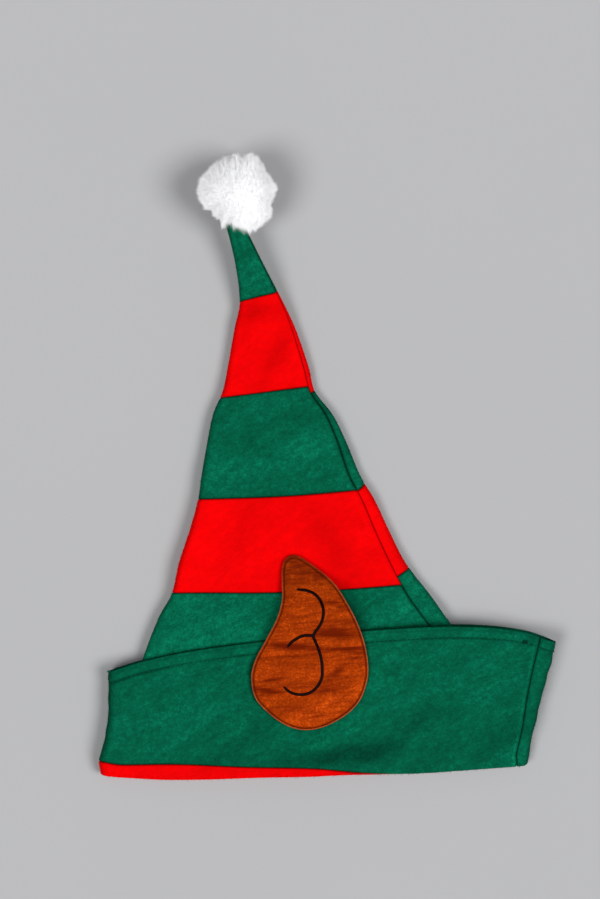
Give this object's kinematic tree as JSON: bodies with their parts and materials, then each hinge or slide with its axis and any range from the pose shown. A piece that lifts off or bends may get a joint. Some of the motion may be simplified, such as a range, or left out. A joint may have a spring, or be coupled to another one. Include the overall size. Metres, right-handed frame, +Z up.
{
  "type": "elf hat",
  "caption": "Pointed costume hat of striped red and green felt with a turned-up cuff, padded ears and a pompom, lying flat on its side.",
  "frame": {"origin": "middle of the hat's footprint on the surface that it lies on", "axes": "+Y from the mouth to the pompom, +X to the right across the mouth, +Z up from the surface"},
  "size_m": [0.3184, 0.4336, 0.0547],
  "materials": {
    "green_felt": "matte craft felt with a short nap",
    "red_felt": "matte craft felt with a short nap",
    "brown_felt": "smooth, slightly satiny felt",
    "white_pile": "dense soft pile"
  },
  "bodies": {
    "root": {"front_stripe_red_mouth": "red_felt", "front_stripe_green_low": "green_felt", "front_stripe_red_low": "red_felt", "front_stripe_green_high": "green_felt", "front_stripe_red_high": "red_felt", "front_stripe_green_tip": "green_felt", "cuff_front": "green_felt", "back_stripe_red_mouth": "red_felt", "back_stripe_green_low": "green_felt", "back_stripe_red_low": "red_felt", "back_stripe_green_high": "green_felt", "back_stripe_red_high": "red_felt", "back_stripe_green_tip": "green_felt", "cuff_back": "green_felt", "ear_upper": "brown_felt", "ear_lower": "brown_felt", "pompom": "white_pile"}
  },
  "joints": []
}
